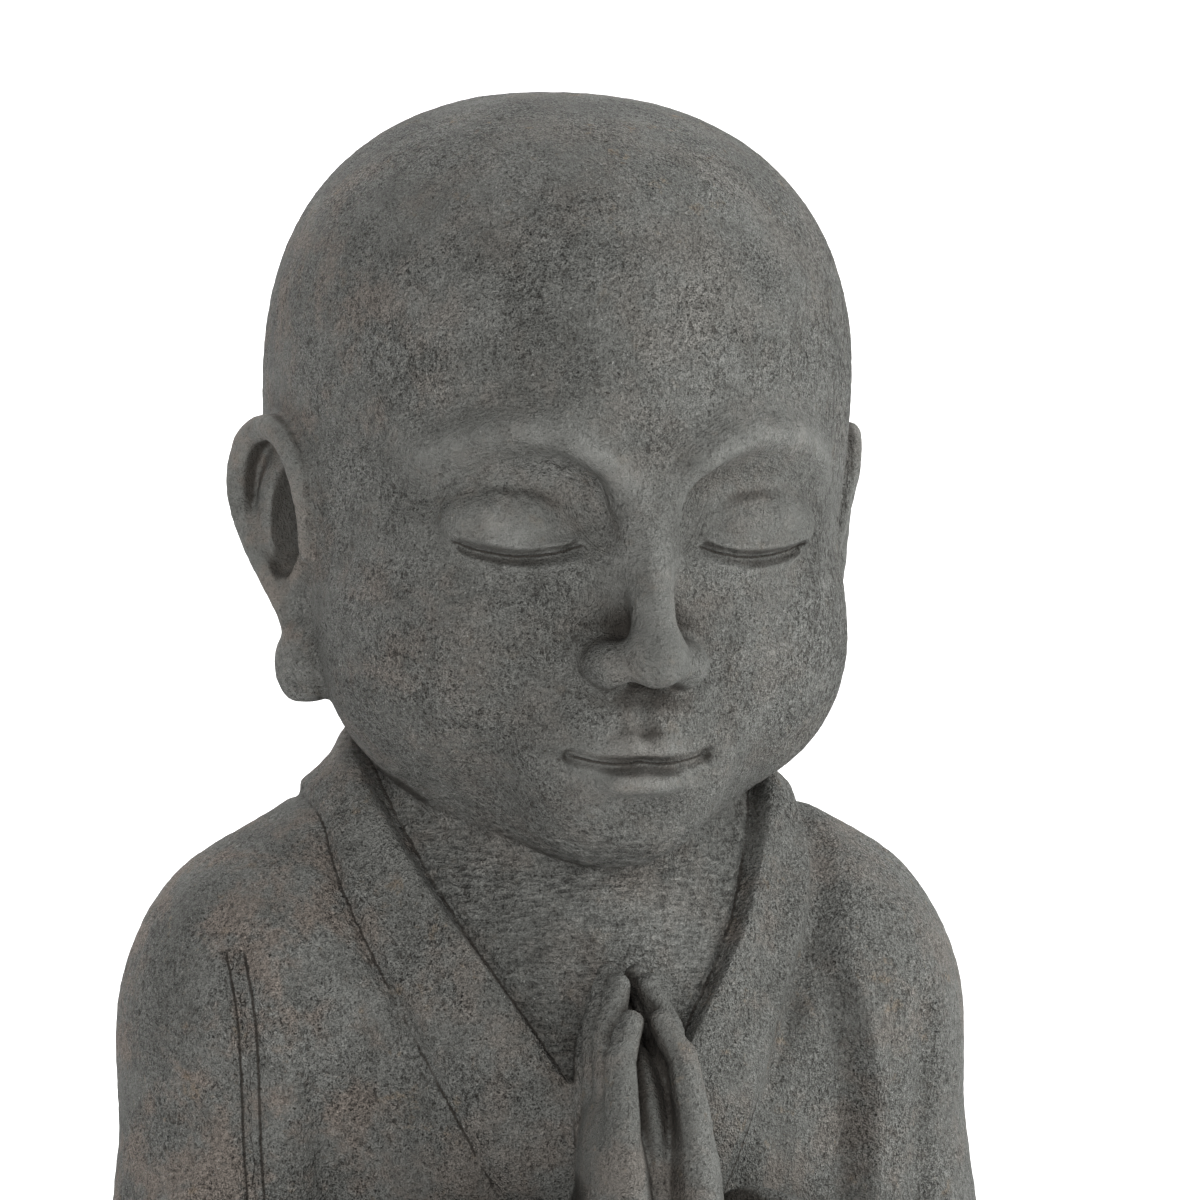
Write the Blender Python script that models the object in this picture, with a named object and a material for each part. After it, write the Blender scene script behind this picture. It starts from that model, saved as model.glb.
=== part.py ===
"""Half-length bust of a praying monk, cast in one piece and cut flat below.

Metres, +Z up. The figure faces -Y, its left hand is at +X, and the origin is on the flat
underside, below the neck. The form is carved as a signed distance: negative inside the cast
material, zero on its surface, counted in heads, as a sculptor measures a figure.
"""

import math
from concurrent.futures import ThreadPoolExecutor

import bmesh
import bpy
import numpy as np
import openvdb

# Driving dimension, metres. Every other length below is a share of it.
HEAD_HEIGHT = 0.312

# Pose, in heads from the middle of the underside, and degrees.
HEAD_CENTRE = np.array((0.0, 0.0, 1.255))
HEAD_BOW = 8.0

# Thickness of the cloth over the flesh, and of the collar band over the cloth, in heads.
ROBE_THICKNESS = 0.014
COLLAR_THICKNESS = 0.010

# The cast stone.
STONE_COLOUR = (0.105, 0.102, 0.094, 1.0)
STONE_ROUGHNESS = 0.92

# Spacing of the grid that the form is measured on, in heads. A first grid, this many times
# coarser, finds the surface, and only its cells within reach of it are measured finely.
GRAIN = 0.0075
COARSE = 4
SURFACE_REACH = 1.15
# Triangles that the solid keeps.
FACETS = 9400
# The block of space that the figure is carved from, in heads.
BLOCK_LOW = np.array((-0.75, -0.62, -0.04))
BLOCK_HIGH = np.array((0.75, 0.46, 1.84))
# Points worked out at once, and the threads that share them.
BATCH = 40000
THREADS = 4


# Distances to plain forms, for points p as rows of x, y, z.


def length(v):
    return np.sqrt(np.einsum("ij,ij->i", v, v))


def ellipsoid(p, centre, radii):
    q = (p - centre) / radii
    near = length(q)
    return near * (near - 1) / np.maximum(length(q / radii), 1e-9)


def dome(p, centre, radii, fullness):
    """An ellipsoid whose upright profile is as square as its fullness, which is 2 for a plain one."""
    q = p - centre
    plan = np.maximum(length(q[:, :2] / radii[:2]), 1e-9)
    rise = np.abs(q[:, 2]) / radii[2]
    near = np.maximum((plan**fullness + rise**fullness) ** (1 / fullness), 1e-9)
    across = (plan / near) ** (fullness - 1) * length(q[:, :2] / np.square(radii[:2])) / plan
    upward = (rise / near) ** (fullness - 1) / radii[2]
    return (near - 1) / np.hypot(across, upward)


def limb(p, start, end, start_radius, end_radius):
    """A rod with round ends whose radius changes evenly along it."""
    start = np.asarray(start, float)
    axis = np.asarray(end, float) - start
    along = np.clip((p - start) @ axis / (axis @ axis), 0, 1)
    away = length(p - start - along[:, None] * axis)
    return away - start_radius - (end_radius - start_radius) * along


def along_line(p, points):
    """(distance to the line through the points, share of the line's points passed there)."""
    points = np.asarray(points, float)
    best = np.full(len(p), np.inf)
    share = np.zeros(len(p))
    for i, (start, end) in enumerate(zip(points[:-1], points[1:])):
        axis = end - start
        along = np.clip((p - start) @ axis / (axis @ axis), 0, 1)
        away = length(p - start - along[:, None] * axis)
        nearer = away < best
        best[nearer] = away[nearer]
        share[nearer] = (i + along[nearer]) / (len(points) - 1)
    return best, share


def smooth_line(points, steps=5):
    """More points, on a smooth curve through the given ones."""
    points = np.asarray(points, float)
    ends = np.vstack((2 * points[0] - points[1], points, 2 * points[-1] - points[-2]))
    t = np.linspace(0, 1, steps, endpoint=False)[:, None]
    runs = []
    for a, b, c, d in zip(ends[:-3], ends[1:-2], ends[2:-1], ends[3:]):
        bend = 2 * a - 5 * b + 4 * c - d
        twist = 3 * b - a - 3 * c + d
        runs.append(0.5 * (2 * b + (c - a) * t + bend * t**2 + twist * t**3))
    return np.vstack(runs + [points[-1:]])


def tube(p, points, radii):
    away, share = along_line(p, points)
    return away - np.interp(share, np.linspace(0, 1, len(radii)), radii)


def mark(p, points, width, fade=0.0):
    """1 on a line, falling off over a width to each side, and over a share of its run at each end."""
    points = np.asarray(points, float)
    raised = np.zeros(len(p))
    near = np.all((p > points.min(0) - 3 * width) & (p < points.max(0) + 3 * width), axis=1)
    away, share = along_line(p[near], points)
    height = np.exp(-((away / width) ** 2))
    if fade:
        inward = np.clip(np.minimum(share, 1 - share) / fade, 0, 1)
        height *= inward * (2 - inward)
    raised[near] = height
    return raised


def joined(a, b, blend):
    """Two forms grown together with a soft fillet."""
    h = np.clip(0.5 + 0.5 * (b - a) / blend, 0, 1)
    return b + (a - b) * h - blend * h * (1 - h)


def hollowed(a, b, blend):
    """Form a with form b taken out of it."""
    return -joined(-a, b, blend)


def step(x, width):
    """0 below zero, 1 above it, over a soft width."""
    t = np.clip(x / width + 0.5, 0, 1)
    return t * t * (3 - 2 * t)


def worked(form, q, centre, radius, change):
    """A form changed only within a radius of one place, with the change fading out towards it."""
    away = length(q - centre)
    near = away < radius
    if near.any():
        before = form[near]
        share = step(0.92 * radius - away[near], 0.16 * radius)
        form[near] = before + share * (change(before.copy(), q[near]) - before)
    return form


def mirrored(p):
    """The figure's two sides laid on its left one."""
    q = p.copy()
    q[:, 0] = np.abs(q[:, 0])
    return q


# The head, in heads from its own middle, level and facing -Y.

SLIT = smooth_line(((0.074, -0.057), (0.106, -0.067), (0.152, -0.073), (0.200, -0.067), (0.230, -0.057)))
BROW = smooth_line(((0.030, -0.374, 0.004), (0.062, -0.386, 0.050), (0.120, -0.377, 0.082),
                    (0.195, -0.341, 0.080), (0.262, -0.272, 0.044)))
MOUTH_LINE = smooth_line(((0.0, -0.319), (0.022, -0.323), (0.050, -0.321), (0.072, -0.317), (0.088, -0.313)))


def skull(q):
    form = dome(q, (0, 0.022, 0.110), (0.3815, 0.408, 0.376), 2.3)
    form = joined(form, ellipsoid(q, (0, -0.050, -0.175), (0.315, 0.305, 0.300)), 0.13)
    form = joined(form, ellipsoid(q, (0.165, -0.170, -0.215), (0.165, 0.165, 0.165)), 0.10)
    form = joined(form, ellipsoid(q, (0, -0.284, -0.396), (0.105, 0.082, 0.074)), 0.11)
    return joined(form, ellipsoid(q, (0, -0.090, -0.385), (0.20, 0.19, 0.095)), 0.06)


def eyes(form, q):
    form = hollowed(form, ellipsoid(q, (0.150, -0.394, -0.002), (0.116, 0.062, 0.064)), 0.032)
    form = hollowed(form, ellipsoid(q, (0.068, -0.394, -0.014), (0.034, 0.050, 0.050)), 0.028)
    form = joined(form, tube(q, BROW, (0.002, 0.010, 0.012, 0.008, 0.000)), 0.050)
    return joined(form, ellipsoid(q, (0.153, -0.298, -0.035), (0.093, 0.058, 0.058)), 0.010)


def nose(form, q):
    form = joined(form, limb(q, (0, -0.352, 0.045), (0, -0.420, -0.165), 0.024, 0.030), 0.038)
    form = joined(form, ellipsoid(q, (0, -0.430, -0.186), (0.041, 0.040, 0.037)), 0.022)
    form = joined(form, ellipsoid(q, (0.050, -0.390, -0.200), (0.034, 0.046, 0.032)), 0.010)
    return hollowed(form, ellipsoid(q, (0.026, -0.412, -0.234), (0.016, 0.024, 0.013)), 0.008)


def mouth(form, q):
    form = joined(form, ellipsoid(q, (0, -0.338, -0.310), (0.120, 0.052, 0.090)), 0.08)
    form = joined(form, limb(q, (0.018, -0.392, -0.296), (0.078, -0.366, -0.308), 0.0190, 0.0085), 0.010)
    form = joined(form, ellipsoid(q, (0, -0.388, -0.303), (0.020, 0.022, 0.016)), 0.010)
    form = joined(form, ellipsoid(q, (0, -0.378, -0.343), (0.060, 0.036, 0.023)), 0.008)
    return hollowed(form, ellipsoid(q, (0, -0.402, -0.388), (0.060, 0.030, 0.018)), 0.030)


def face_marks(q):
    """How far the fine cuts and ridges of the face stand proud, in heads."""
    flat = q[:, [0, 2]]
    raised = -0.013 * mark(flat, SLIT, 0.0060, 0.05)
    raised += 0.0045 * mark(flat, SLIT + (0.0, 0.0125), 0.007, 0.2)
    raised += 0.0055 * mark(flat, SLIT - (0.0, 0.0135), 0.009, 0.2)
    raised -= 0.0030 * mark(flat, SLIT - (0.0, 0.036), 0.012, 0.3)
    raised -= 0.012 * mark(flat, MOUTH_LINE, 0.0060)
    raised -= 0.006 * mark(flat, ((0.091, -0.312), (0.095, -0.310)), 0.014)
    raised -= 0.006 * mark(flat, ((0.0, -0.246), (0.0, -0.274)), 0.012)
    raised -= 0.005 * mark(flat, smooth_line(((0.088, -0.200), (0.110, -0.235), (0.126, -0.280))), 0.022, 0.3)
    return raised * step(-0.18 - q[:, 1], 0.08)


EAR_ROOT = np.array((0.346, -0.083, -0.084))
EAR_FLARE = math.radians(25)
RIM_RADII = (0.012, 0.017, 0.019, 0.019, 0.017, 0.014)
HELIX = smooth_line(((0.000, -0.020, 0.008), (-0.004, 0.040, 0.018), (0.014, 0.102, 0.024),
                     (0.064, 0.134, 0.018), (0.122, 0.118, 0.008), (0.147, 0.068, 0.004),
                     (0.134, 0.018, 0.005), (0.096, -0.034, 0.006), (0.054, -0.084, 0.004),
                     (0.032, -0.122, 0.000)))


def ear(form, q):
    """A long-lobed ear. Its own frame runs back, up and out from the root at the cheek."""
    back = np.array((math.sin(EAR_FLARE), math.cos(EAR_FLARE), 0))
    out = np.array((math.cos(EAR_FLARE), -math.sin(EAR_FLARE), 0))
    e = (q - EAR_ROOT) @ np.array((back, (0, 0, 1), out)).T
    shell = ellipsoid(e, (0.056, 0.034, -0.030), (0.084, 0.108, 0.036))
    shell = joined(shell, ellipsoid(e, (0.014, -0.160, -0.010), (0.047, 0.058, 0.042)), 0.024)
    shell = hollowed(shell, ellipsoid(e, (0.057, 0.036, 0.016), (0.052, 0.078, 0.034)), 0.008)
    shell = joined(shell, ellipsoid(e, (0.070, 0.032, -0.030), (0.082, 0.116, 0.026)), 0.010)
    shell = joined(shell, ellipsoid(e, (0.034, -0.066, -0.016), (0.040, 0.070, 0.024)), 0.014)
    shell = joined(shell, ellipsoid(e, (0.090, 0.016, -0.010), (0.032, 0.074, 0.020)), 0.006)
    shell = joined(shell, tube(e, HELIX, RIM_RADII), 0.007)
    shell = joined(shell, tube(e + (0, 0, 0.022), HELIX, RIM_RADII), 0.010)
    form = joined(form, shell, 0.010)
    return hollowed(form, ellipsoid(e, (0.050, 0.024, 0.000), (0.026, 0.076, 0.030)), 0.008)


def head(p):
    bow = math.radians(HEAD_BOW)
    turned = np.array(((1, 0, 0), (0, math.cos(bow), math.sin(bow)), (0, -math.sin(bow), math.cos(bow))))
    q = mirrored((p - HEAD_CENTRE) @ turned.T)
    form = skull(q)
    form = worked(form, q, (0.150, -0.36, 0.0), 0.20, eyes)
    form = worked(form, q, (0, -0.38, -0.31), 0.20, mouth)
    form = worked(form, q, (0, -0.40, -0.10), 0.22, nose)
    form = worked(form, q, (0.08, -0.38, -0.18), 0.30, lambda f, s: f - face_marks(s))
    return worked(form, q, EAR_ROOT + (0.05, 0.04, -0.01), 0.24, ear)


# The robed body, in heads from the middle of the underside.

ELBOW = np.array((0.455, -0.040, 0.120))
CUFF = np.array((0.150, -0.345, 0.262))
WRIST = np.array((0.046, -0.400, 0.268))
FINGERTIP = np.array((0.019, -0.284, 0.622))
FOREARM = np.array((0.150, -0.330, 0.225))
# Each finger's place across the hand, and where its tip and its root lie along it.
FINGERS = ((-0.062, 0.935, 0.46), (-0.021, 1.000, 0.47), (0.021, 0.945, 0.46), (0.061, 0.800, 0.43))
THUMB = ((0.0, -0.050, 0.060), (-0.010, -0.115, 0.130), (-0.024, -0.125, 0.215))
NECK_AXIS_Y = 0.048


def flesh(q):
    form = ellipsoid(q, (0, 0.048, 0.353), (0.390, 0.295, 0.560))
    form = joined(form, ellipsoid(q, (0, 0.130, 0.385), (0.430, 0.240, 0.480)), 0.10)
    form = joined(form, limb(q, (0.110, 0.062, 0.803), (0.357, 0.055, 0.623), 0.140, 0.149), 0.05)
    form = joined(form, ellipsoid(q, (0.356, 0.050, 0.541), (0.192, 0.212, 0.222)), 0.05)
    form = joined(form, limb(q, (0.375, 0.038, 0.530), (0.428, 0.010, 0.0), 0.165, 0.175), 0.05)
    form = joined(form, ellipsoid(q, (0, -0.110, 0.0), (0.330, 0.240, 0.260)), 0.08)
    return joined(form, limb(q, (0, 0.060, 1.000), (0, 0.030, 0.700), 0.205, 0.225), 0.09)


COLLAR_ANGLES = np.radians((0, 20, 42, 57, 75, 90, 130, 180))
COLLAR_INNER = (0.070, 0.250, 0.400, 0.500, 0.600, 0.660, 0.700, 0.705)
COLLAR_OUTER = (-0.280, -0.030, 0.180, 0.320, 0.490, 0.520, 0.505, 0.500)
EDGE_ANGLES = np.linspace(0, math.pi, 181)


def softened(heights, reach=9):
    """A collar edge's height at every degree round the neck, with its corners rounded."""
    line = np.interp(EDGE_ANGLES, COLLAR_ANGLES, heights)
    window = np.hanning(2 * reach + 3)[1:-1]
    ends = np.concatenate((2 * line[0] - line[reach:0:-1], line, line[-2 : -reach - 2 : -1]))
    return np.convolve(ends, window / window.sum(), "valid")


def edge_distance(q, line):
    """How far outside a collar edge the points are, across the cloth, in heads.

    The height runs down the neck and on outwards over the shoulder, like a cone's.
    """
    radius = np.hypot(q[:, 0], NECK_AXIS_Y - q[:, 1])
    angle = np.arctan2(q[:, 0], NECK_AXIS_Y - q[:, 1])
    slope = np.interp(angle, EDGE_ANGLES, np.gradient(line, EDGE_ANGLES)) / np.maximum(radius, 0.1)
    return (np.interp(angle, EDGE_ANGLES, line) - q[:, 2] + radius) / np.sqrt(2 + slope**2)


INNER_EDGE = softened(COLLAR_INNER)
OUTER_EDGE = softened(COLLAR_OUTER)


def cloth(q):
    """Robe and collar band laid over the flesh, in heads."""
    inside = edge_distance(q, INNER_EDGE)
    outside = edge_distance(q, OUTER_EDGE)
    layer = ROBE_THICKNESS * step(inside, 0.012)
    layer += COLLAR_THICKNESS * (step(inside, 0.016) - step(outside, 0.022))
    layer += 0.005 * np.exp(-(((inside - 0.022) / 0.020) ** 2))
    return layer - 0.006 * np.exp(-(((outside - 0.010) / 0.010) ** 2))


# Each fold's line over the front or the back, as (x, z), its width, and its height or depth.
FRONT_FOLDS = (
    (((-0.462, 0.645), (-0.450, 0.560), (-0.440, 0.420), (-0.430, 0.240)), 0.015, -0.013),
    (((-0.392, 0.640), (-0.370, 0.540), (-0.352, 0.400), (-0.340, 0.260)), 0.022, -0.012),
    (((0.305, 0.640), (0.330, 0.540), (0.345, 0.400), (0.335, 0.260)), 0.020, -0.013),
    (((0.335, 0.625), (0.372, 0.520), (0.385, 0.400), (0.380, 0.260)), 0.016, 0.007),
    (((0.455, 0.540), (0.452, 0.420), (0.440, 0.240)), 0.017, -0.011),
    (((-0.245, 0.480), (-0.235, 0.380), (-0.225, 0.300)), 0.026, -0.010),
    (((0.235, 0.500), (0.230, 0.400), (0.220, 0.300)), 0.026, -0.010),
)
BACK_FOLDS = (
    (((-0.200, 0.620), (-0.230, 0.420), (-0.240, 0.120)), 0.034, -0.014),
    (((0.190, 0.600), (0.225, 0.400), (0.230, 0.100)), 0.034, -0.014),
    (((-0.030, 0.520), (-0.020, 0.350), (-0.035, 0.080)), 0.045, -0.008),
)


def drawn(q, lines):
    flat = q[:, [0, 2]]
    return sum(depth * mark(flat, smooth_line(line), width, 0.25) for line, width, depth in lines)


def folds(q):
    """Furrows and ridges of the robe, which stop at the collar band."""
    front = drawn(q, FRONT_FOLDS) * step(-0.02 - q[:, 1], 0.10)
    back = drawn(q, BACK_FOLDS) * step(q[:, 1] - 0.10, 0.12)
    return (front + back) * step(edge_distance(mirrored(q), OUTER_EDGE) - 0.015, 0.03)


def sleeve(form, q):
    """The wide sleeve: round over the forearm, then hanging straight down from it."""
    plan = (CUFF - ELBOW)[:2]
    along = np.clip((q[:, :2] - ELBOW[:2]) @ plan / (plan @ plan), 0, 1)
    away = length(q[:, :2] - ELBOW[:2] - along[:, None] * plan)
    top = ELBOW[2] + (CUFF[2] - ELBOW[2]) * along
    over = q[:, 2] - top
    radius = 0.125 - 0.025 * along + 0.008 * np.sin(along * 17) * step(-over - 0.04, 0.10)
    hanging = np.sqrt(away**2 + np.maximum(over, 0) ** 2) - radius
    forward = (CUFF - ELBOW) / np.linalg.norm(CUFF - ELBOW)
    mouth_plane = (q - CUFF) @ np.array((forward[0], forward[1], 0)) / np.linalg.norm(forward[:2])
    hanging = -joined(-hanging, -(mouth_plane - 0.02), 0.02)
    form = joined(form, hanging, 0.03)
    return hollowed(form, limb(q, CUFF + forward * 0.06, CUFF - forward * 0.02, 0.072, 0.060), 0.012)


def hand(q):
    """One of the two hands laid palm to palm, with the little finger in front."""
    axis = FINGERTIP - WRIST
    reach = np.linalg.norm(axis)
    axis = axis / reach
    across = np.array((0.0, -axis[2], axis[1]))
    local = (q - WRIST) @ np.array(((1, 0, 0), across, axis)).T
    form = ellipsoid(local, (0.000, 0.0, 0.27 * reach), (0.042, 0.086, 0.34 * reach))
    between = ellipsoid(local, (-WRIST[0], 0.0, 0.42 * reach), (0.032, 0.056, 0.36 * reach))
    form = joined(form, between, 0.004)
    form = joined(form, limb(q, WRIST + axis * 0.08 * reach, FOREARM, 0.050, 0.056), 0.04)
    for offset, share, base_share in FINGERS:
        base = (0.0, offset, base_share * reach)
        knuckle = (-0.006, offset * 0.97, (0.35 * base_share + 0.65 * share) * reach)
        tip = (FINGERTIP[0] - WRIST[0], offset * 0.88, share * reach)
        form = joined(form, limb(local, base, knuckle, 0.0245, 0.0215), 0.006)
        form = joined(form, limb(local, knuckle, tip, 0.0215, 0.0180), 0.004)
    thumb = tube(local, THUMB, (0.036, 0.030, 0.023))
    return joined(form, thumb, 0.012)


def figure(q):
    """Distance to the whole carved surface, in heads, less than 0 inside."""
    side = mirrored(q)
    form = flesh(side)
    form -= cloth(side)
    form -= folds(q)
    form = worked(form, side, (0.30, -0.20, 0.12), 0.50, sleeve)
    form = worked(form, side, (0.02, -0.33, 0.42), 0.32, lambda f, s: joined(f, hand(s), 0.008))
    return worked(form, q, HEAD_CENTRE, 0.68, lambda f, s: joined(f, head(s), 0.012))


# Carving the block, and Blender's side of it.


def measured(points):
    """figure() of many points, in batches shared by the threads."""
    batches = np.array_split(points, max(1, len(points) // BATCH))
    with ThreadPoolExecutor(THREADS) as pool:
        return np.concatenate(list(pool.map(figure, batches)))


def carved_block(grain):
    """The distance at every point of a grid over the block, close only near the surface."""
    cells = np.ceil((BLOCK_HIGH - BLOCK_LOW) / (grain * COARSE)).astype(int)
    axes = [low + grain * COARSE * np.arange(n + 1) for low, n in zip(BLOCK_LOW, cells)]
    nodes = np.stack(np.meshgrid(*axes, indexing="ij"), -1)
    rough = measured(nodes.reshape(-1, 3)).reshape(cells + 1)
    corners = [rough[i : cells[0] + i, j : cells[1] + j, k : cells[2] + k]
               for i in (0, 1) for j in (0, 1) for k in (0, 1)]
    nearest = np.min(np.abs(corners), axis=0)
    block = corners[0]
    for axis in range(3):
        block = np.repeat(block, COARSE, axis=axis)
    block = np.ascontiguousarray(block)
    inner = np.stack(np.meshgrid(*[np.arange(COARSE)] * 3, indexing="ij"), -1).reshape(-1, 3)
    near = np.argwhere(nearest < SURFACE_REACH * grain * COARSE)
    fine = (near[:, None, :] * COARSE + inner).reshape(-1, 3)
    block[tuple(fine.T)] = measured(BLOCK_LOW + grain * fine)
    return block


def skin(grain):
    """The surface of the carved block as an object, in metres."""
    grid = openvdb.FloatGrid(1.0)
    grid.copyFromArray(carved_block(grain).astype(np.float32))
    points, quads = grid.convertToQuads()
    mesh = bpy.data.meshes.new("monk_bust")
    mesh.from_pydata((BLOCK_LOW + grain * points) * HEAD_HEIGHT, [], quads)
    mesh.update()
    obj = bpy.data.objects.new("monk_bust", mesh)
    bpy.context.scene.collection.objects.link(obj)
    return obj


def thinned(obj, facets):
    """Leaves that many triangles, most of them where the form is busiest."""
    modifier = obj.modifiers.new("facets", "DECIMATE")
    modifier.ratio = facets / (2 * len(obj.data.polygons))
    graph = bpy.context.evaluated_depsgraph_get()
    mesh = bpy.data.meshes.new_from_object(obj.evaluated_get(graph))
    obj.modifiers.clear()
    obj.data = mesh


def sliced_flat(obj):
    """Cuts the underside off flat at z = 0 and closes it with one face."""
    shape = bmesh.new()
    shape.from_mesh(obj.data)
    everything = shape.verts[:] + shape.edges[:] + shape.faces[:]
    cut = bmesh.ops.bisect_plane(shape, geom=everything, dist=1e-6, plane_co=(0, 0, 0), plane_no=(0, 0, 1),
                                 clear_inner=True)
    rim = [e for e in cut["geom_cut"] if isinstance(e, bmesh.types.BMEdge)]
    bmesh.ops.contextual_create(shape, geom=rim)
    bmesh.ops.triangulate(shape, faces=shape.faces[:])
    shape.to_mesh(obj.data)
    shape.free()


def stone():
    material = bpy.data.materials.new("cast_stone")
    material.use_nodes = True
    shader = material.node_tree.nodes["Principled BSDF"]
    shader.inputs["Base Color"].default_value = STONE_COLOUR
    shader.inputs["Roughness"].default_value = STONE_ROUGHNESS
    return material


def main():
    for old in list(bpy.data.objects):
        bpy.data.objects.remove(old)
    obj = skin(GRAIN)
    thinned(obj, FACETS)
    sliced_flat(obj)
    obj.data.materials.append(stone())
    obj.data.shade_smooth()
    parts = bpy.data.collections.new("monk bust")
    bpy.context.scene.collection.children.link(parts)
    bpy.context.scene.collection.objects.unlink(obj)
    parts.objects.link(obj)


main()
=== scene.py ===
"""Half-length bust of a praying monk in grey cast stone, on a white studio sweep.

Metres, +Z up. The figure faces -Y, its left hand is at +X, and it stands on its flat underside.
Its form is carved as a signed distance, negative inside the stone and zero on its surface, in
heads, as a sculptor measures a figure. The fine work of the casting's surface follows on the
mesh, and the grain of the stone in its material.
"""

import math
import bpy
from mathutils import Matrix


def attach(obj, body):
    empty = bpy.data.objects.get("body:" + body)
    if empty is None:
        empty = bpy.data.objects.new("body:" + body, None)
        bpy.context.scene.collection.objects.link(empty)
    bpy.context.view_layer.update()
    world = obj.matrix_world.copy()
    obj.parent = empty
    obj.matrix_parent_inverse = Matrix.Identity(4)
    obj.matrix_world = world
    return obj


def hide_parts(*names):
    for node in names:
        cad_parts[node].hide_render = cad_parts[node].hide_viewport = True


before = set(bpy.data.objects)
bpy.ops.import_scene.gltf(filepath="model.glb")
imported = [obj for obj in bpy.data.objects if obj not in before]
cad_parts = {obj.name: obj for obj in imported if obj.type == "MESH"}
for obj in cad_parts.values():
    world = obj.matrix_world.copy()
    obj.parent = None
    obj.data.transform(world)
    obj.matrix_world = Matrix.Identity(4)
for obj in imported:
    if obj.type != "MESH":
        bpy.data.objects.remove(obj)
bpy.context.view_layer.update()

from concurrent.futures import ThreadPoolExecutor

import bmesh
import bpy
import numpy as np
import openvdb
from mathutils import Vector

# Driving dimension, metres. Every length of the carving is a share of it.
HEAD_HEIGHT = 0.312

# Pose, in heads from the middle of the underside, and degrees.
HEAD_CENTRE = np.array((0.0, 0.0, 1.255))
HEAD_BOW = 8.0

# Thickness of the cloth over the flesh, and of the collar band over the cloth, in heads.
ROBE_THICKNESS = 0.014
COLLAR_THICKNESS = 0.010

# Spacing of the grid that the form is measured on, in heads. A first grid, this many times
# coarser, finds the surface, and only its cells within reach of it are measured finely.
GRAIN = 0.0036
COARSE = 4
SURFACE_REACH = 1.15
# The block of space that the figure is carved from, in heads.
BLOCK_LOW = np.array((-0.7560, -0.6264, -0.0360))
BLOCK_HIGH = np.array((0.7560, 0.4600, 1.8400))
# Points worked out at once, and the threads that share them.
BATCH = 40000
THREADS = 4
# Triangles of the finished piece, before its underside is cut.
TRIANGLES = 196000

# The camera: what it looks at, how far off, how wide a square it sees there, and from where.
CAMERA_TARGET = Vector((0.0162, -0.0053, 0.338))
CAMERA_DISTANCE = 1.8
CAMERA_SPAN = 0.486
CAMERA_AZIMUTH = math.radians(-18)
SENSOR_MM = 36.0


# Distances to plain forms, for points p as rows of x, y, z.


def length(v):
    return np.sqrt(np.einsum("ij,ij->i", v, v))


def ellipsoid(p, centre, radii):
    q = (p - centre) / radii
    near = length(q)
    return near * (near - 1) / np.maximum(length(q / radii), 1e-9)


def dome(p, centre, radii, fullness):
    """An ellipsoid whose upright profile is as square as its fullness, which is 2 for a plain one."""
    q = p - centre
    plan = np.maximum(length(q[:, :2] / radii[:2]), 1e-9)
    rise = np.abs(q[:, 2]) / radii[2]
    near = np.maximum((plan**fullness + rise**fullness) ** (1 / fullness), 1e-9)
    across = (plan / near) ** (fullness - 1) * length(q[:, :2] / np.square(radii[:2])) / plan
    upward = (rise / near) ** (fullness - 1) / radii[2]
    return (near - 1) / np.hypot(across, upward)


def limb(p, start, end, start_radius, end_radius):
    """A rod with round ends whose radius changes evenly along it."""
    start = np.asarray(start, float)
    axis = np.asarray(end, float) - start
    along = np.clip((p - start) @ axis / (axis @ axis), 0, 1)
    away = length(p - start - along[:, None] * axis)
    return away - start_radius - (end_radius - start_radius) * along


def along_line(p, points):
    """(distance to the line through the points, share of the line's points passed there)."""
    points = np.asarray(points, float)
    best = np.full(len(p), np.inf)
    share = np.zeros(len(p))
    for i, (start, end) in enumerate(zip(points[:-1], points[1:])):
        axis = end - start
        along = np.clip((p - start) @ axis / (axis @ axis), 0, 1)
        away = length(p - start - along[:, None] * axis)
        nearer = away < best
        best[nearer] = away[nearer]
        share[nearer] = (i + along[nearer]) / (len(points) - 1)
    return best, share


def smooth_line(points, steps=5):
    """More points, on a smooth curve through the given ones."""
    points = np.asarray(points, float)
    ends = np.vstack((2 * points[0] - points[1], points, 2 * points[-1] - points[-2]))
    t = np.linspace(0, 1, steps, endpoint=False)[:, None]
    runs = []
    for a, b, c, d in zip(ends[:-3], ends[1:-2], ends[2:-1], ends[3:]):
        bend = 2 * a - 5 * b + 4 * c - d
        twist = 3 * b - a - 3 * c + d
        runs.append(0.5 * (2 * b + (c - a) * t + bend * t**2 + twist * t**3))
    return np.vstack(runs + [points[-1:]])


def tube(p, points, radii):
    away, share = along_line(p, points)
    return away - np.interp(share, np.linspace(0, 1, len(radii)), radii)


def mark(p, points, width, fade=0.0):
    """1 on a line, falling off over a width to each side, and over a share of its run at each end."""
    points = np.asarray(points, float)
    raised = np.zeros(len(p))
    near = np.all((p > points.min(0) - 3 * width) & (p < points.max(0) + 3 * width), axis=1)
    away, share = along_line(p[near], points)
    height = np.exp(-((away / width) ** 2))
    if fade:
        inward = np.clip(np.minimum(share, 1 - share) / fade, 0, 1)
        height *= inward * (2 - inward)
    raised[near] = height
    return raised


def ring(p, centre, radii, width):
    """1 on an ellipse round a centre, falling off over a width to each side of it."""
    out = length((p - centre) / radii) - 1
    return np.exp(-((out * min(radii) / width) ** 2))


def joined(a, b, blend):
    """Two forms grown together with a soft fillet."""
    h = np.clip(0.5 + 0.5 * (b - a) / blend, 0, 1)
    return b + (a - b) * h - blend * h * (1 - h)


def hollowed(a, b, blend):
    """Form a with form b taken out of it."""
    return -joined(-a, b, blend)


def step(x, width):
    """0 below zero, 1 above it, over a soft width."""
    t = np.clip(x / width + 0.5, 0, 1)
    return t * t * (3 - 2 * t)


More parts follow.
